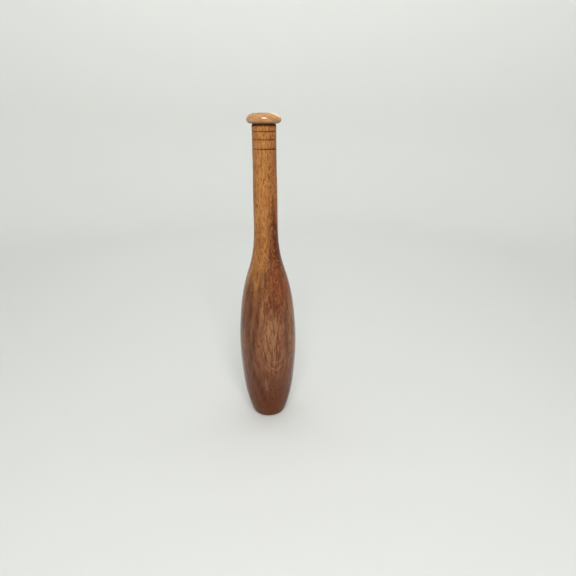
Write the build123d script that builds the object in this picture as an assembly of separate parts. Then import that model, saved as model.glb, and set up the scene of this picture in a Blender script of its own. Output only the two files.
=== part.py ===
from build123d import *
import os
from math import cos, radians, sin

# A turned hardwood swinging club of the kind jugglers and gymnasts use in pairs.
# It stands on its base: +Z runs up the turning axis to the knob, and the origin is
# the middle of the base. Four pieces: the body, the knob on the body's tenon, the
# wedge that spreads the tenon, and the plug in the base. All sizes in millimetres.

# ---- driving dimensions ----
LENGTH = 508.0           # base to top of knob, 20 inches
BELLY_RADIUS = 48.2      # widest place
GRIP_RADIUS = 18.0       # the straight part of the handle, under the fingers
KNOB_RADIUS = 25.5
KNOB_THICKNESS = 15.0

# base
BASE_FLAT_RADIUS = 22.0  # the flat that the club stands on
BASE_EDGE_RADIUS = 8.0   # the round from the flat up into the belly
BASE_EDGE_TURN = 70.0    # degrees of that round, which leaves the side 20 from upright

# side of the belly, neck and handle: height above the base, radius.
# Above the last one the grip is a plain cylinder up to the knob.
SIDE_STATIONS = [
    (45.0, 40.2),
    (90.0, 45.8),
    (138.0, BELLY_RADIUS),
    (192.0, 45.6),       # shoulder
    (232.0, 40.2),
    (262.0, 32.7),
    (289.0, 24.6),
    (316.0, 20.1),       # neck
    (358.0, 18.8),
    (405.0, 18.6),       # handle
    (455.0, GRIP_RADIUS),
]

# scored and burnt rings round the grip, measured down from the knob
RING_DROPS = (10.3, 21.3, 34.2)
RING_WIDTH = 1.6
RING_DEPTH = 0.75

# V line where the knob meets the handle
JOINT_LINE_DEPTH = 1.2
JOINT_LINE_HEIGHT = 2.2

# tenon through the knob, opened out by a wedge in its saw cut
TENON_ROOT_RADIUS = 9.0
TENON_END_RADIUS = 9.6
CUT_DEPTH = 12.0
CUT_WIDTH_AT_FOOT = 0.9
CUT_WIDTH_AT_END = 3.2

# knob rim: a quarter ellipse domes over above its widest place, and a tighter one tucks in below
KNOB_WIDEST_RISE = 5.0   # from the knob's seat up to its widest place
KNOB_TOP_REACH = 12.0    # how far in from the rim the upper curve comes
KNOB_FOOT_REACH = 6.5    # the same for the lower curve

# hole left by the lathe's screw chuck, and the plug that closes it
PLUG_RADIUS = 6.0
PLUG_LENGTH = 20.0
PLUG_CHAMFER = 1.0
PLUG_RECESS = 0.3        # below the flat, so that the club never rocks on the plug
DRILL_POINT_ANGLE = 118.0

# ---- heights worked out from them ----
KNOB_SEAT = LENGTH - KNOB_THICKNESS
KNOB_WIDEST = KNOB_SEAT + KNOB_WIDEST_RISE
CUT_FOOT = LENGTH - CUT_DEPTH

CUTTER_OVERRUN = 1.0     # how far a cutting solid runs out past the surface that it cuts


def turned(outline):
    """A solid of revolution about the club's axis from a closed outline in the XZ plane."""
    return revolve(make_face(outline), Axis.Z)


def upright(line):
    """Stands a line drawn as (radius, height) in the XZ plane."""
    return Plane.XZ * line


def body_outline():
    """Half section of the body: base, belly, neck, handle, shoulder and tenon."""
    base = Line((0, 0), (BASE_FLAT_RADIUS, 0))
    edge = JernArc(start=base @ 1, tangent=(1, 0), radius=BASE_EDGE_RADIUS, arc_size=BASE_EDGE_TURN)
    stations = [(radius, height) for height, radius in SIDE_STATIONS]
    side = Spline(edge @ 1, *stations, tangents=[edge % 1, (0, 1)])
    top = Polyline(
        side @ 1,
        (GRIP_RADIUS, KNOB_SEAT - JOINT_LINE_HEIGHT),
        (GRIP_RADIUS - JOINT_LINE_DEPTH, KNOB_SEAT),
        (TENON_ROOT_RADIUS, KNOB_SEAT),
        (TENON_END_RADIUS, LENGTH),
        (0, LENGTH),
        (0, 0),
    )
    return upright(base + edge + side + top)


def ring_cutter(drop):
    """The V that scores one ring round the grip, centred at this drop below the knob."""
    height = KNOB_SEAT - drop
    slope = RING_WIDTH / 2 / RING_DEPTH
    half_width = slope * (RING_DEPTH + CUTTER_OVERRUN)
    outline = Polyline(
        (GRIP_RADIUS - RING_DEPTH, height),
        (GRIP_RADIUS + CUTTER_OVERRUN, height + half_width),
        (GRIP_RADIUS + CUTTER_OVERRUN, height - half_width),
        close=True,
    )
    return turned(upright(outline))


def tenon_cut():
    """The tapering slot across the tenon, wide at the end where the wedge goes in."""
    spread = (CUT_WIDTH_AT_END - CUT_WIDTH_AT_FOOT) / CUT_DEPTH
    half_top = (CUT_WIDTH_AT_END + spread * CUTTER_OVERRUN) / 2
    half_foot = CUT_WIDTH_AT_FOOT / 2
    outline = Polyline(
        (-half_foot, CUT_FOOT),
        (half_foot, CUT_FOOT),
        (half_top, LENGTH + CUTTER_OVERRUN),
        (-half_top, LENGTH + CUTTER_OVERRUN),
        close=True,
    )
    section = make_face(Plane.YZ * outline)
    return extrude(section, amount=TENON_END_RADIUS + CUTTER_OVERRUN, both=True)


def tenon():
    """The tenon on its own, without its cut: the space inside the knob."""
    outline = Polyline(
        (0, KNOB_SEAT),
        (TENON_ROOT_RADIUS, KNOB_SEAT),
        (TENON_END_RADIUS, LENGTH),
        (0, LENGTH),
        close=True,
    )
    return turned(upright(outline))


def plug_hole():
    """The blind hole in the base, with the cone that a drill leaves at its end."""
    depth = PLUG_RECESS + PLUG_LENGTH
    half_angle = radians(DRILL_POINT_ANGLE / 2)
    point = PLUG_RADIUS * cos(half_angle) / sin(half_angle)
    outline = Polyline(
        (0, 0),
        (PLUG_RADIUS, 0),
        (PLUG_RADIUS, depth),
        (0, depth + point),
        close=True,
    )
    return turned(upright(outline))


def make_body():
    """Base, belly, neck, handle and tenon, turned in one piece."""
    body = turned(body_outline())
    for drop in RING_DROPS:
        body -= ring_cutter(drop)
    body -= tenon_cut()
    body -= plug_hole()
    return body


def rim_quarter(reach, rise, start_angle):
    """A quarter of an ellipse that touches the knob's widest place, reaching in by this much."""
    return EllipticalCenterArc(
        center=(KNOB_RADIUS - reach, KNOB_WIDEST),
        x_radius=reach,
        y_radius=rise,
        start_angle=start_angle,
        arc_size=90,
    )


def make_knob():
    """The knob, a thick disc with a rounded rim and a tapered hole right through."""
    foot = rim_quarter(KNOB_FOOT_REACH, KNOB_WIDEST - KNOB_SEAT, start_angle=-90)
    top = rim_quarter(KNOB_TOP_REACH, LENGTH - KNOB_WIDEST, start_angle=0)
    rest = Polyline(
        (KNOB_RADIUS - KNOB_TOP_REACH, LENGTH),
        (TENON_END_RADIUS, LENGTH),
        (TENON_ROOT_RADIUS, KNOB_SEAT),
        (KNOB_RADIUS - KNOB_FOOT_REACH, KNOB_SEAT),
    )
    return turned(upright(foot + top + rest))


def make_wedge():
    """The hardwood wedge that fills the tenon's cut, trimmed flush with the knob."""
    return tenon_cut() & tenon()


def make_plug():
    """The plug in the base, chamfered at its inner end so that it starts into the hole."""
    outline = Polyline(
        (0, PLUG_RECESS),
        (PLUG_RADIUS, PLUG_RECESS),
        (PLUG_RADIUS, PLUG_RECESS + PLUG_LENGTH - PLUG_CHAMFER),
        (PLUG_RADIUS - PLUG_CHAMFER, PLUG_RECESS + PLUG_LENGTH),
        (0, PLUG_RECESS + PLUG_LENGTH),
        close=True,
    )
    return turned(upright(outline))


PIECES = {
    "club_body": make_body,
    "end_knob": make_knob,
    "tenon_wedge": make_wedge,
    "base_plug": make_plug,
}

os.makedirs("parts", exist_ok=True)
for name, make in PIECES.items():
    export_step(make(), f"parts/{name}.step")
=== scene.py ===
from math import cos, pi, radians, sin

import bmesh
import bpy
import numpy as np
from mathutils import Euler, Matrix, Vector, noise


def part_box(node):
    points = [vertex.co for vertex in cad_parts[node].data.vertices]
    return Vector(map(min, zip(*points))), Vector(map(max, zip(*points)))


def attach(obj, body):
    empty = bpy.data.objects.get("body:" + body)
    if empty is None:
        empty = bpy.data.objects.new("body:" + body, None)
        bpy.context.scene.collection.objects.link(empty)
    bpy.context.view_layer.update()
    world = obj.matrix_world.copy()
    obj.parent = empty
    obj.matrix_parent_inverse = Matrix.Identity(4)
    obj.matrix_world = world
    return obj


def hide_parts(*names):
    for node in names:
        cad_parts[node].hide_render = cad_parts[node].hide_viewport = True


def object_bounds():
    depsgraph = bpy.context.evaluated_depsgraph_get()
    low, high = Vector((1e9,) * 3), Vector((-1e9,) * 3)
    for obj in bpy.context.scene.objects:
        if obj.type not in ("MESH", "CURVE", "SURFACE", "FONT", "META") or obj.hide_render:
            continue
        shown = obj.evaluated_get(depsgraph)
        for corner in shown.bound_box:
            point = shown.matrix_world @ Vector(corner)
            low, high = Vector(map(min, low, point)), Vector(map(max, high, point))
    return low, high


# A turned, varnished hardwood club standing on a pale floor. Everything is in metres, in
# the CAD frame: +Z runs up the turning axis from the base to the knob, and the camera
# looks from the -Y side.

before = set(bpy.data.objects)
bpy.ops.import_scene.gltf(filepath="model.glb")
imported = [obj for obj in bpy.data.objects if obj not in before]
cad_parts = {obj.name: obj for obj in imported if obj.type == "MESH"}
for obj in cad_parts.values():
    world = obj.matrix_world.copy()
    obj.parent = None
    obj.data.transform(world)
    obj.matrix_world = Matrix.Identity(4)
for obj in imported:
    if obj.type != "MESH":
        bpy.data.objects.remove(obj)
cad_low, cad_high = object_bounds()
knob_low, knob_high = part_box("end_knob")
wedge_low, wedge_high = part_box("tenon_wedge")
plug_low, plug_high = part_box("base_plug")

MM = 0.001
LENGTH = cad_high.z
BELLY_RADIUS = cad_high.x
KNOB_SEAT = knob_low.z
KNOB_MIDDLE = (knob_low.z + knob_high.z) / 2
TENON_END_RADIUS = wedge_high.x
TENON_ROOT_RADIUS = 0.94 * TENON_END_RADIUS
PLUG_RADIUS = plug_high.x

# ---- mesh density ----
SEGMENTS = 128           # round the axis
SIDE_STEP = 1.5 * MM     # between rings of vertices up the plain side
GRIP_STEP = 0.22 * MM    # the same where the grip is scored
BASE_EDGE_HEIGHT = 8 * MM
BASE_EDGE_RINGS = 26
SCORED_LENGTH = 46 * MM  # how far down from the knob the close rings start
RIM_RINGS = 40
ARRIS = 0.15 * MM        # the small round left on a cut edge

# ---- hand-turned unevenness ----
TOOL_WAVE = 0.045 * MM   # ripple left along the side by the gouge and the sanding
OVAL = 0.25 * MM         # wood shrinks more across one way of the grain than the other
OVAL_TURN = 0.6          # radians from +X to the way that shrinks least
KNOB_WAVE = 0.004        # the knob's rim, as a share of its radius


# ---------------------------------------------------------------- shapes

def finished_piece(name, mesh):
    """Turns a bmesh into a smooth-shaded object in the scene."""
    data = bpy.data.meshes.new(name)
    mesh.to_mesh(data)
    mesh.free()
    data.polygons.foreach_set("use_smooth", [True] * len(data.polygons))
    piece = bpy.data.objects.new(name, data)
    bpy.context.scene.collection.objects.link(piece)
    return piece


def outside_of(node, clear_of):
    """Heights and radii up the outside of a turned CAD node, ignoring anything nearer the axis."""
    points = np.array([v.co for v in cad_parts[node].data.vertices])
    radius = np.hypot(points[:, 0], points[:, 1])
    outer = radius > clear_of
    heights, place = np.unique(np.round(points[outer, 2], 6), return_inverse=True)
    radii = np.zeros(len(heights))
    np.maximum.at(radii, place, radius[outer])
    return heights, radii


BODY_HEIGHTS, BODY_RADII = outside_of("club_body", clear_of=1.5 * PLUG_RADIUS)


def lathe(name, outline, uneven=None):
    """A mesh turned from (radius, height) points. An outline that starts off the axis is a
    closed section, so its last ring joins its first."""
    mesh = bmesh.new()
    rings = []
    for radius, height in outline:
        ring = []
        for step in range(SEGMENTS if radius else 1):
            angle = 2 * pi * step / SEGMENTS
            reach = radius
            if uneven:
                reach += uneven(radius, angle, height)
            ring.append(mesh.verts.new((reach * cos(angle), reach * sin(angle), height)))
        rings.append(ring)
    following = rings[1:]
    if outline[0][0]:
        following = rings[1:] + rings[:1]
    for lower, upper in zip(rings, following):
        for step in range(SEGMENTS):
            after = (step + 1) % SEGMENTS
            corners = [
                lower[step % len(lower)],
                lower[after % len(lower)],
                upper[after % len(upper)],
                upper[step % len(upper)],
            ]
            mesh.faces.new(list(dict.fromkeys(corners)))
    bmesh.ops.recalc_face_normals(mesh, faces=mesh.faces)
    return finished_piece(name, mesh)


def body_unevenness(radius, angle, height):
    """How far the finished side stands in from the true turned shape, which it never passes."""
    around = Vector((cos(angle), sin(angle), 0)) * radius
    ripple = noise.noise(Vector((around.x * 22, around.y * 22, height * 95)))
    dish = noise.noise(Vector((around.x * 14, around.y * 14, height * 11 + 40)))
    oval = OVAL * (1 - cos(2 * (angle - OVAL_TURN))) / 2
    depth = TOOL_WAVE * (1 + ripple) + 3 * TOOL_WAVE * (1 + dish) + oval
    return -depth * radius / BELLY_RADIUS


def knob_unevenness(radius, angle, height):
    """The same for the knob, whose hole stays true."""
    if radius < 1.2 * TENON_END_RADIUS:
        return 0
    return -radius * KNOB_WAVE * (1 + noise.noise(Vector((cos(angle), sin(angle), height * 90))))


def body_outline():
    """Half section of the body from the foot of the plug's hole, round the side, to the tenon's end."""
    edge = BASE_EDGE_HEIGHT * np.linspace(0, 1, BASE_EDGE_RINGS) ** 2
    side = np.arange(BASE_EDGE_HEIGHT + SIDE_STEP, KNOB_SEAT - SCORED_LENGTH, SIDE_STEP)
    grip = np.arange(KNOB_SEAT - SCORED_LENGTH, KNOB_SEAT, GRIP_STEP)
    levels = np.concatenate([edge, side, grip, [KNOB_SEAT]])
    outside = list(zip(np.interp(levels, BODY_HEIGHTS, BODY_RADII), levels))
    return (
        [(0, 1.25 * plug_high.z), (PLUG_RADIUS, plug_high.z), (PLUG_RADIUS, plug_low.z)]
        + [(PLUG_RADIUS + ARRIS, 0), (1.5 * PLUG_RADIUS, 0), (0.75 * outside[0][0], 0)]
        + outside
        + [(1.3 * TENON_ROOT_RADIUS, KNOB_SEAT), (TENON_ROOT_RADIUS, KNOB_SEAT)]
        + [(TENON_END_RADIUS, LENGTH - ARRIS), (TENON_END_RADIUS - ARRIS, LENGTH)]
        + [(TENON_END_RADIUS / 2, LENGTH), (0, LENGTH)]
    )


def knob_outline():
    """Section of the knob: from the underside round the rim and over the top, then down the hole."""
    heights, radii = outside_of("end_knob", clear_of=1.2 * TENON_END_RADIUS)
    turn = np.linspace(-pi / 2, pi / 2, RIM_RINGS)
    levels = KNOB_MIDDLE + (knob_high.z - knob_low.z) / 2 * np.sin(turn)
    rim = list(zip(np.interp(levels, heights, radii), levels))
    hole_end = TENON_END_RADIUS + 0.04 * MM
    hole = [(hole_end + ARRIS, LENGTH), (hole_end, LENGTH - ARRIS), (TENON_ROOT_RADIUS, KNOB_SEAT)]
    return rim + [((rim[-1][0] + hole_end) / 2, LENGTH)] + hole


def cut_slot(body):
    """Saws the tenon's slot, where the CAD wedge goes."""
    corners = np.array([v.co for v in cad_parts["tenon_wedge"].data.vertices])
    foot = corners[corners[:, 2] < wedge_low.z + 0.1 * MM]
    half_foot = np.abs(foot[:, 1]).max()
    half_end = wedge_high.y
    grow = (half_end - half_foot) / (wedge_high.z - wedge_low.z)
    above = LENGTH + MM
    half_above = half_end + grow * MM
    reach = 1.2 * TENON_END_RADIUS
    mesh = bmesh.new()
    ends = []
    for x in (-reach, reach):
        ends.append([
            mesh.verts.new((x, -half_foot, wedge_low.z)),
            mesh.verts.new((x, half_foot, wedge_low.z)),
            mesh.verts.new((x, half_above, above)),
            mesh.verts.new((x, -half_above, above)),
        ])
    mesh.faces.new(ends[0])
    mesh.faces.new(ends[1])
    for step in range(4):
        after = (step + 1) % 4
        mesh.faces.new([ends[0][step], ends[0][after], ends[1][after], ends[1][step]])
    bmesh.ops.recalc_face_normals(mesh, faces=mesh.faces)
    cutter = finished_piece("slot_cutter", mesh)
    cut = body.modifiers.new("slot", "BOOLEAN")
    cut.operation = "DIFFERENCE"
    cut.solver = "EXACT"
    cut.object = cutter
    graph = bpy.context.evaluated_depsgraph_get()
    finished = bpy.data.meshes.new_from_object(body.evaluated_get(graph))
    body.modifiers.clear()
    body.data = finished
    bpy.data.objects.remove(cutter)


# ---------------------------------------------------------------- material nodes

def colour(red, green, blue):
    """A linear colour from one written as a screen shows it, 0 to 255."""
    return tuple((c / 255 / 12.92 if c <= 10 else ((c / 255 + 0.055) / 1.055) ** 2.4)
                 for c in (red, green, blue)) + (1,)


class Recipe:
    """One material's node tree, with a short method for each kind of node it uses."""

    def __init__(self, name):
        self.material = bpy.data.materials.new(name)
        self.material.use_nodes = True
        self.tree = self.material.node_tree
        self.shader = self.tree.nodes["Principled BSDF"]

    def feed(self, socket, value):
        if isinstance(value, bpy.types.NodeSocket):
            self.tree.links.new(value, socket)
        elif value is not None:
            socket.default_value = value

    def add(self, kind, inputs=(), **settings):
        made = self.tree.nodes.new("ShaderNode" + kind)
        for name, value in settings.items():
            setattr(made, name, value)
        for socket, value in enumerate(inputs):
            self.feed(made.inputs[socket], value)
        return made

    def maths(self, operation, *values):
        return self.add("Math", values, operation=operation).outputs[0]

    def vector(self, operation, *values):
        return self.add("VectorMath", values, operation=operation).outputs[0]

    def length(self, value):
        return self.add("VectorMath", [value], operation="LENGTH").outputs["Value"]

    def parts(self, value):
        return self.add("SeparateXYZ", [value]).outputs

    def place(self):
        """Where a point is in the club's own frame."""
        return self.add("TexCoord").outputs["Object"]

    def stretch(self, place, across, along):
        """Squeezes a place so that a noise on it is 1/across wide and 1/along tall."""
        return self.vector("MULTIPLY", place, (across, across, along))

    def noise(self, place, detail=2.0, roughness=0.5, output=0):
        made = self.add("TexNoise", [place])
        made.inputs["Scale"].default_value = 1.0
        made.inputs["Detail"].default_value = detail
        made.inputs["Roughness"].default_value = roughness
        return made.outputs[output]

    def line_noise(self, value, detail=2.0, roughness=0.5):
        """Noise along one number, such as the distance from the pith."""
        made = self.add("TexNoise", noise_dimensions="1D")
        self.feed(made.inputs["W"], value)
        made.inputs["Scale"].default_value = 1.0
        made.inputs["Detail"].default_value = detail
        made.inputs["Roughness"].default_value = roughness
        return made.outputs[0]

    def blend(self, *weighted):
        """Adds up noises by weight, and keeps their middle at one half."""
        total = 0.5 - 0.5 * sum(weight for value, weight in weighted)
        for value, weight in weighted:
            total = self.maths("MULTIPLY_ADD", value, weight, total)
        return total

    def ease(self, value, low, high, start=0.0, end=1.0):
        """Goes smoothly from start to end as the value goes from low to high."""
        made = self.add("MapRange", [value, low, high, start, end], interpolation_type="SMOOTHSTEP")
        return made.outputs[0]

    def mix(self, factor, first, second):
        made = self.add("Mix", data_type="RGBA")
        self.feed(made.inputs[0], factor)
        self.feed(made.inputs[6], first)
        self.feed(made.inputs[7], second)
        return made.outputs[2]

    def wobble(self, place, across, along, reach):
        """A small sideways push that changes slowly from place to place."""
        push = self.noise(self.stretch(place, across, along), output="Color")
        push = self.vector("SUBTRACT", push, (0.5, 0.5, 0.5))
        return self.vector("MULTIPLY", push, (reach, reach, 0.0))

    def bump(self, height, strength, distance):
        made = self.add("Bump")
        made.inputs["Strength"].default_value = strength
        made.inputs["Distance"].default_value = distance
        self.feed(made.inputs["Height"], height)
        self.feed(self.shader.inputs["Normal"], made.outputs[0])

    def varnish(self, roughness, ior):
        """A clear gloss coat. Its weight may be fed afterwards, where it is worn."""
        self.shader.inputs["Specular IOR Level"].default_value = 0.0
        self.shader.inputs["Coat Weight"].default_value = 1.0
        self.shader.inputs["Coat Roughness"].default_value = roughness
        self.shader.inputs["Coat IOR"].default_value = ior


# ---------------------------------------------------------------- wood

GOLD = colour(184, 128, 71)
# the gold in painted shade, for the handle's right side
GOLD_PAINTED_SHADE = colour(167, 110, 59)
AMBER = colour(134, 76, 34)
RUSSET = colour(141, 91, 54)
UMBER = colour(90, 37, 10)
RUDDY = colour(144, 81, 42)
TAN = colour(160, 112, 76)
STREAK = colour(70, 26, 6)
# char brown for the burn marks, also used for painted shade under the knob
CHAR_AND_SHADE = colour(82, 38, 16)
GRIME = colour(84, 50, 28)
GLINT = colour(196, 148, 104)
KNOB_CRESCENT = colour(230, 214, 180)
KNOB_CRESCENT_DARK = colour(214, 192, 150)
KNOB_LIGHT = colour(196, 149, 99)
KNOB_DARK = colour(158, 104, 56)
WALNUT = colour(106, 64, 36)
WALNUT_DARK = colour(58, 32, 18)
DOWEL = colour(206, 170, 122)
DOWEL_DARK = colour(164, 122, 78)

# shares of each noise in the grain
BELLY_GRAIN = [("strand", 0.6), ("streak", 0.6), ("fibre", 0.5), ("mottle", 0.15), ("cloud", 0.25)]
HANDLE_GRAIN = [("strand", 0.1), ("streak", 0.2), ("fibre", 0.95), ("mottle", 0.28), ("cloud", 0.25)]

# heights where the body's look changes
LOW_BELLY = 60 * MM
BELLY_TURN = 165 * MM    # below this the belly curves in across the grain
SHOULDER = 230 * MM
NECK = 330 * MM
GOLD_FOOT = 290 * MM     # where the golden wood ends in front
GOLD_FADE = 35 * MM      # how far above and below that the two woods mingle
GOLD_SLANT = 120 * MM    # how much higher it would end a quarter turn to the right

FLOW_SLOPE = 0.26        # how far the belly's grain moves inwards for each step down
RING_BURNS = (0.95, 0.65, 0.8)  # how dark each scored ring is, from the lowest up

# patches of other colour on the body: height as a share of the club's length, degrees round
# the axis (-90 faces the camera), half length and half width in millimetres, strength
DARK_STREAKS = [
    (0.700, -46, 40, 5.0, 0.65),
    (0.655, -38, 36, 6.0, 0.75),
    (0.598, -36, 28, 5.0, 0.85),
    (0.612, -44, 20, 3.0, 0.95),
    (0.640, -66, 46, 7.0, 0.35),
    (0.592, -70, 16, 2.4, 0.80),
    (0.605, -86, 10, 1.2, 0.35),
    (0.615, -116, 44, 5.0, 0.40),
    (0.745, -66, 20, 2.0, 0.45),
    (0.520, -93, 18, 2.0, 0.80),
    (0.528, -119, 14, 2.2, 0.70),
    (0.500, -133, 40, 5.0, 0.60),
    (0.472, -128, 20, 6.0, 0.95),
    (0.480, -140, 30, 6.0, 0.85),
    (0.415, -128, 34, 6.0, 0.75),
    (0.500, -108, 34, 4.0, 0.55),
    (0.400, -112, 60, 5.0, 0.60),
    (0.360, -130, 60, 7.0, 0.75),
    (0.482, -46, 22, 4.0, 0.70),
    (0.456, -37, 18, 4.0, 0.65),
    (0.440, -74, 20, 4.0, 0.55),
    (0.322, -117, 36, 4.6, 0.95),
    (0.270, -124, 30, 5.0, 0.85),
    (0.218, -130, 20, 5.0, 0.90),
    (0.186, -121, 16, 4.5, 0.90),
    (0.155, -112, 15, 4.5, 0.90),
    (0.124, -104, 14, 4.5, 0.85),
    (0.094, -96, 12, 4.5, 0.80),
    (0.310, -46, 36, 4.5, 0.80),
    (0.330, 12, 55, 4.5, 0.65),
    (0.560, 40, 60, 3.0, 0.60),
    (0.260, 75, 45, 5.0, 0.55),
    (0.420, 120, 50, 4.0, 0.65),
    (0.700, 150, 40, 2.2, 0.50),
    (0.200, 165, 40, 4.0, 0.60),
]
PALE_PATCHES = [
    (0.335, -82, 34, 12, 0.95),
    (0.455, -98, 40, 5, 0.45),
    (0.230, -76, 18, 16, 0.35),
    (0.150, -92, 16, 5, 0.50),
    (0.350, 55, 40, 12, 0.55),
    (0.300, 145, 36, 11, 0.55),
]

# knots that the grain flows round: height share, degrees, half length and half width in
# millimetres, how hard the grain is pushed aside, how dark the middle is
KNOTS = [
    (0.390, -45, 9, 5, 0.8, 0.95),
    (0.380, 100, 20, 10, 0.7, 0.6),
]
PATCH_DEPTH = 14 * MM    # how far below the side a patch reaches


def near(wood, place, height_share, degrees, half_length, half_width):
    """Coordinates about a spot on the body's side, which reach 1 at the edge of its patch."""
    height = height_share * LENGTH
    radius = np.interp(height, BODY_HEIGHTS, BODY_RADII)
    angle = radians(degrees)
    made = wood.add("Mapping", [place], vector_type="TEXTURE")
    made.inputs["Location"].default_value = (radius * cos(angle), radius * sin(angle), height)
    made.inputs["Rotation"].default_value = (0, 0, angle)
    made.inputs["Scale"].default_value = (PATCH_DEPTH, half_width * MM, half_length * MM)
    return made.outputs[0]


def flow_round_knots(wood, place):
    """Bends the grain so that it parts and closes again round each knot."""
    hearts = 0.0
    for height_share, degrees, half_length, half_width, push, darkness in KNOTS:
        spot = near(wood, place, height_share, degrees, half_length, half_width)
        away = wood.length(spot)
        pull = wood.ease(away, 0.0, 1.6, push, 0.0)
        sideways = wood.maths("MULTIPLY", wood.parts(spot)[1], pull)
        angle = radians(degrees)
        across = (half_width * MM * sin(angle), -half_width * MM * cos(angle), 0.0)
        shift = wood.add("CombineXYZ", [sideways, sideways, sideways]).outputs[0]
        place = wood.vector("MULTIPLY_ADD", shift, across, place)
        hearts = wood.maths("MAXIMUM", hearts, wood.ease(away, 0.12, 0.5, darkness, 0.0))
    return place, hearts


def patches(wood, place, spots, ragged):
    """How strongly a point is inside any of the listed spots, with ragged edges."""
    total = 0.0
    for height_share, degrees, half_length, half_width, strength in spots:
        away = wood.length(near(wood, place, height_share, degrees, half_length, half_width))
        inside = wood.ease(wood.maths("ADD", away, ragged), 0.3, 1.2, strength, 0.0)
        total = wood.maths("MAXIMUM", total, inside)
    return total


def growth_rings(wood, grown, height):
    """Fine layers of growth about a pith that lies behind the club and leans a little."""
    lean = wood.add("CombineXYZ", [
        wood.maths("MULTIPLY", height, 0.02),
        wood.maths("MULTIPLY", height, 0.06),
        height,
    ]).outputs[0]
    pith = (-0.029, 0.078, 0.0)
    depth = wood.length(wood.vector("SUBTRACT", wood.vector("SUBTRACT", grown, lean), pith))
    return wood.line_noise(wood.maths("MULTIPLY", depth, 1900), detail=2, roughness=0.7)


def scored_rings():
    """Heights of the rings cut round the grip: where the CAD body's side dips below the grip."""
    top = KNOB_SEAT - 4 * MM
    grip = np.interp(top, BODY_HEIGHTS, BODY_RADII)
    dips = (BODY_HEIGHTS > KNOB_SEAT - SCORED_LENGTH) & (BODY_HEIGHTS < top)
    dips &= BODY_RADII < grip - 0.5 * MM
    found = []
    for height in BODY_HEIGHTS[dips]:
        if not found or height - found[-1][-1] > 2 * MM:
            found.append([])
        found[-1].append(height)
    return [sum(group) / len(group) for group in found]


def burns_and_knob_shade(wood, place, x, z):
    """Burn marks in the scored rings, deeper towards +X, and a band of painted shade under the knob."""
    uneven = wood.noise(wood.stretch(place, 60, 400))
    dark_bands = 0.0
    for height, strength in zip(scored_rings(), RING_BURNS):
        offset = wood.maths("ABSOLUTE", wood.maths("SUBTRACT", z, height))
        offset = wood.maths("MULTIPLY_ADD", uneven, 0.8 * MM, offset)
        dark_bands = wood.maths("MAXIMUM", dark_bands, wood.ease(offset, 0.9 * MM, 1.7 * MM, strength, 0.0))
    dark_bands = wood.maths("MULTIPLY", dark_bands, wood.ease(x, -14 * MM, 8 * MM, 0.55, 1.0))
    # painted shade: a dark band on the handle just under the knob's overhang
    shade_below_knob = wood.ease(z, KNOB_SEAT - 4.2 * MM, KNOB_SEAT - 2.2 * MM, 0.0, 0.72)
    in_knob = wood.ease(z, KNOB_SEAT + 3 * MM, KNOB_SEAT + 1 * MM)
    return wood.maths("MAXIMUM", dark_bands, wood.maths("MULTIPLY", shade_below_knob, in_knob))


def belly_flow(wood, grown, x, z):
    """Draws the grain in towards the front of the lower belly, where the curve cuts across it."""
    side = wood.ease(x, -22 * MM, 42 * MM, -1.0, 1.0)
    below = wood.maths("MAXIMUM", wood.maths("SUBTRACT", BELLY_TURN, z), 0.0)
    inward = wood.maths("MULTIPLY", wood.maths("MULTIPLY", side, below), FLOW_SLOPE)
    return wood.vector("ADD", grown, wood.add("CombineXYZ", [inward, 0.0, 0.0]).outputs[0])


def body_noises(wood, place, grown):
    """The noises that the body's grain and marks are made of, most of them long up the club."""
    return {
        "strand": wood.noise(wood.stretch(grown, 170, 14), detail=3, roughness=0.6),
        "streak": wood.noise(wood.stretch(grown, 320, 42), detail=3, roughness=0.6),
        "fibre": wood.noise(wood.stretch(grown, 900, 100), detail=2, roughness=0.6),
        "fleck": wood.noise(wood.stretch(grown, 520, 160), detail=2, roughness=0.6),
        "pore": wood.noise(wood.stretch(grown, 1500, 110), detail=1),
        "cloud": wood.noise(wood.stretch(place, 36, 20), detail=3),
        "mottle": wood.noise(wood.stretch(place, 260, 300), detail=2),
    }


def mixed_grain(wood, noises, rings, z):
    """Long soft strands in the belly, fine fibres up the handle, rings where the belly curves in."""
    belly = wood.blend(*[(noises[name], share) for name, share in BELLY_GRAIN])
    handle = wood.blend(*[(noises[name], share) for name, share in HANDLE_GRAIN])
    up_handle = wood.ease(z, SHOULDER, NECK)
    fibres = wood.maths("MULTIPLY_ADD", up_handle, wood.maths("SUBTRACT", handle, belly), belly)
    share = wood.ease(z, BELLY_TURN - 22 * MM, BELLY_TURN - 55 * MM, 0.1, 0.8)
    share = wood.maths("MULTIPLY", share, wood.ease(z, LOW_BELLY, 105 * MM, 0.8, 1.0))
    rings = wood.maths("MULTIPLY", wood.maths("SUBTRACT", rings, 0.5), share)
    return wood.maths("ADD", fibres, rings)


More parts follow.
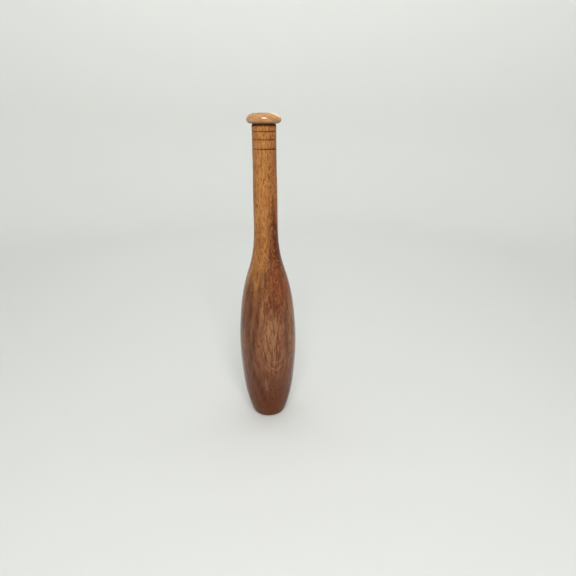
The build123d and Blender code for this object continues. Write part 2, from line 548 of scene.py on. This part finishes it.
def base_tones(wood, place, noises, grain):
    """Golden wood above and red-brown below; also the dark tone of both on its own."""
    x, _, z = wood.parts(place)

    # the golden wood ends lower on the left than on the right, along a ragged edge
    from_axis = wood.length(wood.vector("MULTIPLY", place, (1.0, 1.0, 0.0)))
    rightness = wood.maths("DIVIDE", x, from_axis)
    rightness = wood.maths("MINIMUM", wood.maths("MAXIMUM", rightness, -0.35), 0.6)
    ragged = wood.blend((noises["streak"], 0.13), (noises["cloud"], 0.10))
    boundary = wood.maths("ADD", wood.maths("MULTIPLY_ADD", rightness, -GOLD_SLANT, z), ragged)
    golden = wood.ease(boundary, 0.5 + GOLD_FOOT - GOLD_FADE, 0.5 + GOLD_FOOT + GOLD_FADE)

    # the red-brown is redder on the shoulder's right, and the gold has painted shade on the right
    ruddy = wood.maths("MULTIPLY", wood.ease(x, 0, 15 * MM), wood.ease(z, 200 * MM, 250 * MM))
    gold_with_painted_shade = wood.mix(wood.ease(x, -3 * MM, 13 * MM), GOLD, GOLD_PAINTED_SHADE)
    light = wood.mix(golden, wood.mix(ruddy, RUSSET, RUDDY), gold_with_painted_shade)
    dark = wood.mix(golden, UMBER, AMBER)
    tone = wood.mix(wood.ease(grain, 0.36, 0.70), light, dark)
    shade = wood.ease(z, LOW_BELLY, 150 * MM, 0.72, 0.0)
    return wood.mix(shade, tone, dark), dark


def streaks_and_patches(wood, tone, noises, marked, grain, hearts):
    """Adds the pale patches, then the dark streaks and the knots' hearts."""
    ragged = wood.blend((noises["streak"], 2.0), (noises["fibre"], 2.4))
    ragged = wood.maths("SUBTRACT", ragged, 0.5)
    pale = patches(wood, marked, PALE_PATCHES, ragged)
    pale = wood.maths("MULTIPLY", pale, wood.ease(grain, 0.35, 0.6, 1.0, 0.35))
    tone = wood.mix(pale, tone, TAN)
    marks = patches(wood, marked, DARK_STREAKS, ragged)
    marks = wood.maths("MULTIPLY", marks, wood.ease(noises["fibre"], 0.38, 0.58, 0.6, 1.0))
    return wood.mix(wood.maths("MAXIMUM", marks, hearts), tone, STREAK)


def handle_flecks(wood, tone, dark, fleck, x, z):
    """Adds dark flecks up the handle, most on its right, and a few light ones where it flares."""
    on_right = wood.ease(x, -10 * MM, 10 * MM, 0.3, 1.0)
    on_handle = wood.ease(z, SHOULDER, NECK - 30 * MM, 0.15, 1.0)
    where = wood.maths("MULTIPLY", on_right, on_handle)
    flecks = wood.maths("MULTIPLY", wood.ease(fleck, 0.565, 0.655), where)
    tone = wood.mix(flecks, tone, wood.mix(0.4, dark, STREAK))
    above_shoulder = wood.ease(z, SHOULDER + 25 * MM, SHOULDER + 55 * MM)
    below_grip = wood.ease(z, NECK + 45 * MM, NECK)
    flare = wood.maths("MULTIPLY", above_shoulder, below_grip)
    glints = wood.maths("MULTIPLY", wood.ease(x, 0, 9 * MM, 0.0, 0.55), flare)
    glints = wood.maths("MULTIPLY", wood.ease(fleck, 0.40, 0.31), glints)
    return wood.mix(glints, tone, GLINT)


def wear(wood, tone, cloud, z):
    """Adds grime where the club is gripped, and bare wood where it stands; also how bare it is."""
    soiled = wood.ease(cloud, 0.5, 0.7, 0.0, 0.25)
    grime = wood.maths("MULTIPLY", wood.ease(z, 380 * MM, KNOB_SEAT), soiled)
    tone = wood.mix(grime, tone, GRIME)
    rubbed = wood.maths("MULTIPLY", wood.ease(z, 6 * MM, 1 * MM), wood.ease(cloud, 0.4, 0.6))
    return wood.mix(wood.maths("MULTIPLY", rubbed, 0.5), tone, TAN), rubbed


def club_wood():
    """The body's hardwood: golden up the handle, red-brown in the belly, with darker streaks."""
    wood = Recipe("body_wood")
    place = wood.place()
    x, _, z = wood.parts(place)

    # the grain parts round the knots, wanders along the club and closes in below the belly
    parted, hearts = flow_round_knots(wood, place)
    slow = wood.wobble(place, 14, 6, 9 * MM)
    quick = wood.wobble(place, 70, 22, 2 * MM)
    wander = wood.vector("ADD", slow, quick)
    marked = wood.vector("ADD", parted, wander)
    grown = belly_flow(wood, marked, x, z)
    uneven = wood.wobble(place, 90, 40, 2 * MM)
    uneven = wood.vector("MULTIPLY_ADD", wander, (0.5, 0.5, 0.5), uneven)
    rings = growth_rings(wood, wood.vector("ADD", uneven, place), z)

    noises = body_noises(wood, place, grown)
    grain = mixed_grain(wood, noises, rings, z)
    tone, dark = base_tones(wood, place, noises, grain)
    tone = streaks_and_patches(wood, tone, noises, marked, grain, hearts)
    tone = handle_flecks(wood, tone, dark, noises["fleck"], x, z)
    pores = wood.ease(noises["pore"], 0.62, 0.74, 0.0, 0.25)
    tone = wood.mix(pores, tone, STREAK)
    tone, rubbed = wear(wood, tone, noises["cloud"], z)
    # burn marks in the scored rings, and painted shade under the knob
    dark_bands = burns_and_knob_shade(wood, place, x, z)
    tone = wood.mix(dark_bands, tone, CHAR_AND_SHADE)

    wood.feed(wood.shader.inputs["Base Color"], tone)
    roughness = wood.ease(noises["fibre"], 0.3, 0.7, 0.42, 0.58)
    roughness = wood.maths("MULTIPLY_ADD", rubbed, 0.2, roughness)
    wood.feed(wood.shader.inputs["Roughness"], roughness)
    relief = wood.maths("SUBTRACT", wood.maths("MULTIPLY", noises["fibre"], 0.5), pores)
    wood.bump(relief, 0.3, 0.3 * MM)

    # the coat is thinner where hands and the floor wear it, and broken on the burn marks and the
    # painted shade band under the knob
    wood.varnish(roughness=0.16, ior=1.4)
    gripped = wood.ease(z, NECK, SHOULDER + 20 * MM, 0.55, 1.0)
    scuffed = wood.ease(z, 0.5 * LOW_BELLY, 1.5 * LOW_BELLY, 0.6, 1.0)
    worn = wood.maths("MINIMUM", gripped, scuffed)
    clear_of_dark_bands = wood.ease(dark_bands, 0.1, 0.6, 1.0, 0.25)
    wood.feed(wood.shader.inputs["Coat Weight"], wood.maths("MULTIPLY", worn, clear_of_dark_bands))
    return wood.material


def knob_wood():
    """The knob's hardwood, its growth lying across the club, with a pale crescent over one shoulder."""
    wood = Recipe("knob_wood")
    place = wood.place()
    z = wood.parts(place)[2]

    # the growth lies nearly level, dips towards +X and bends a little
    tilt = wood.add("Mapping", [place], vector_type="TEXTURE")
    tilt.inputs["Location"].default_value = (0, 0, KNOB_MIDDLE)
    tilt.inputs["Rotation"].default_value = (radians(-5), radians(21), 0)
    bent = wood.vector("ADD", tilt.outputs[0], wood.wobble(place, 60, 60, 3 * MM))
    level = wood.parts(bent)[2]
    rings = wood.line_noise(wood.maths("MULTIPLY", level, 520), detail=2)
    fibre = wood.noise(wood.vector("MULTIPLY", bent, (90, 420, 800)), detail=3, roughness=0.6)
    pore = wood.noise(wood.vector("MULTIPLY", bent, (150, 1500, 1500)), detail=1)
    cloud = wood.noise(wood.stretch(place, 90, 90), detail=2)
    grain = wood.blend((rings, 0.45), (fibre, 0.5), (cloud, 0.4))
    tone = wood.mix(wood.ease(grain, 0.38, 0.68), KNOB_LIGHT, KNOB_DARK)

    # everything above one layer of growth is pale
    pale_grain = wood.blend((fibre, 0.9), (rings, 0.3))
    pale_crescent = wood.mix(wood.ease(pale_grain, 0.45, 0.7), KNOB_CRESCENT, KNOB_CRESCENT_DARK)
    edge = wood.maths("MULTIPLY_ADD", fibre, 1.6 * MM, level)
    tone = wood.mix(wood.ease(edge, 8.6 * MM, 9.3 * MM), tone, pale_crescent)
    pores = wood.ease(pore, 0.62, 0.74, 0.0, 0.35)
    tone = wood.mix(pores, tone, AMBER)
    # painted shade: the knob's underside darkens towards the seat
    under = wood.ease(z, KNOB_SEAT + 3.6 * MM, KNOB_SEAT + 0.8 * MM, 0.0, 0.7)
    tone = wood.mix(under, tone, CHAR_AND_SHADE)
    wood.feed(wood.shader.inputs["Base Color"], tone)
    wood.feed(wood.shader.inputs["Roughness"], wood.ease(fibre, 0.3, 0.7, 0.4, 0.55))
    wood.bump(wood.maths("SUBTRACT", wood.maths("MULTIPLY", fibre, 0.5), pores), 0.3, 0.3 * MM)
    wood.varnish(roughness=0.165, ior=1.55)
    return wood.material


def small_wood(name, light, dark):
    """Plain close-grained wood for a wedge or a dowel: fibres along the club, dots on its ends."""
    wood = Recipe(name)
    place = wood.place()
    fibre = wood.noise(wood.stretch(place, 700, 60), detail=3, roughness=0.6)
    cloud = wood.noise(wood.stretch(place, 220, 60), detail=2)
    pore = wood.noise(wood.stretch(place, 1600, 120), detail=1)
    tone = wood.mix(wood.ease(wood.blend((fibre, 0.7), (cloud, 0.6)), 0.36, 0.66), light, dark)
    pores = wood.ease(pore, 0.58, 0.70, 0.0, 0.6)
    tone = wood.mix(pores, tone, WALNUT_DARK)
    wood.feed(wood.shader.inputs["Base Color"], tone)
    wood.feed(wood.shader.inputs["Roughness"], wood.ease(fibre, 0.3, 0.7, 0.45, 0.65))
    wood.bump(wood.maths("SUBTRACT", wood.maths("MULTIPLY", fibre, 0.5), pores), 0.35, 0.3 * MM)
    wood.varnish(roughness=0.2, ior=1.28)
    return wood.material


# ---------------------------------------------------------------- staging

def studio():
    """A pale floor that sweeps up into a round backdrop, well clear of every view of the club."""
    outline = [(0, 0), (0.4, 0), (0.9, 0), (1.4, 0)]
    for step in range(1, 13):
        turn = pi / 2 * step / 12
        outline.append((1.4 + 0.5 * sin(turn), 0.5 - 0.5 * cos(turn)))
    outline += [(1.9, 1.2), (1.9, 2.4)]
    floor = lathe("studio_floor", outline)
    floor.data.flip_normals()
    paper = Recipe("studio_paper")
    paper.shader.inputs["Base Color"].default_value = colour(228, 229, 226)
    paper.shader.inputs["Roughness"].default_value = 0.9
    floor.data.materials.append(paper.material)


def softbox(name, place, aim, width, height, power):
    """A rectangular soft light at a place, facing an aim point, that the camera doesn't see."""
    light = bpy.data.lights.new(name, "AREA")
    light.shape = "RECTANGLE"
    light.size = width
    light.size_y = height
    light.energy = power
    lamp = bpy.data.objects.new(name, light)
    lamp.location = place
    lamp.rotation_euler = (Vector(aim) - Vector(place)).to_track_quat("-Z", "Y").to_euler()
    lamp.visible_camera = False
    bpy.context.scene.collection.objects.link(lamp)


def lights():
    """A lamp in front that puts the sheen on the knob, one over the floor, one on the backdrop."""
    softbox("key", (0.10, -1.15, 1.32), (0, 0, 0.8 * LENGTH), 0.7, 0.42, 17.5)
    softbox("top", (0, -0.4, 2.2), (0, -0.4, 0), 1.4, 1.4, 5)
    softbox("wash", (0, 0.4, 2.2), (0, 1.9, 1.5), 1.8, 0.4, 20)
    world = bpy.data.worlds.new("studio_air")
    world.use_nodes = True
    world.node_tree.nodes["Background"].inputs["Color"].default_value = colour(225, 228, 228)
    world.node_tree.nodes["Background"].inputs["Strength"].default_value = 0.2
    bpy.context.scene.world = world


def camera():
    """Level with the knob, looking down at the club: the view worked out from the photograph."""
    lens = bpy.data.cameras.new("camera")
    lens.sensor_width = 36
    lens.lens = 27.06
    seen_from = bpy.data.objects.new("camera", lens)
    seen_from.location = (0.0685 * LENGTH, -1.315 * LENGTH, 0.9907 * LENGTH)
    seen_from.rotation_euler = Euler((radians(90 - 21.66), 0, 0))
    bpy.context.scene.collection.objects.link(seen_from)
    bpy.context.scene.camera = seen_from


# ---------------------------------------------------------------- the club

body = lathe("turned_body", body_outline(), body_unevenness)
cut_slot(body)
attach(body, "root")
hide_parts("club_body")

knob = lathe("turned_knob", knob_outline(), knob_unevenness)
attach(knob, "root")
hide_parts("end_knob")

coats = [
    (body, club_wood()),
    (knob, knob_wood()),
    (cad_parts["tenon_wedge"], small_wood("wedge_wood", WALNUT, WALNUT_DARK)),
    (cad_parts["base_plug"], small_wood("plug_wood", DOWEL, DOWEL_DARK)),
]
for piece, material in coats:
    piece.data.materials.clear()
    piece.data.materials.append(material)

studio()
lights()
camera()
bpy.context.scene.view_settings.view_transform = "Standard"
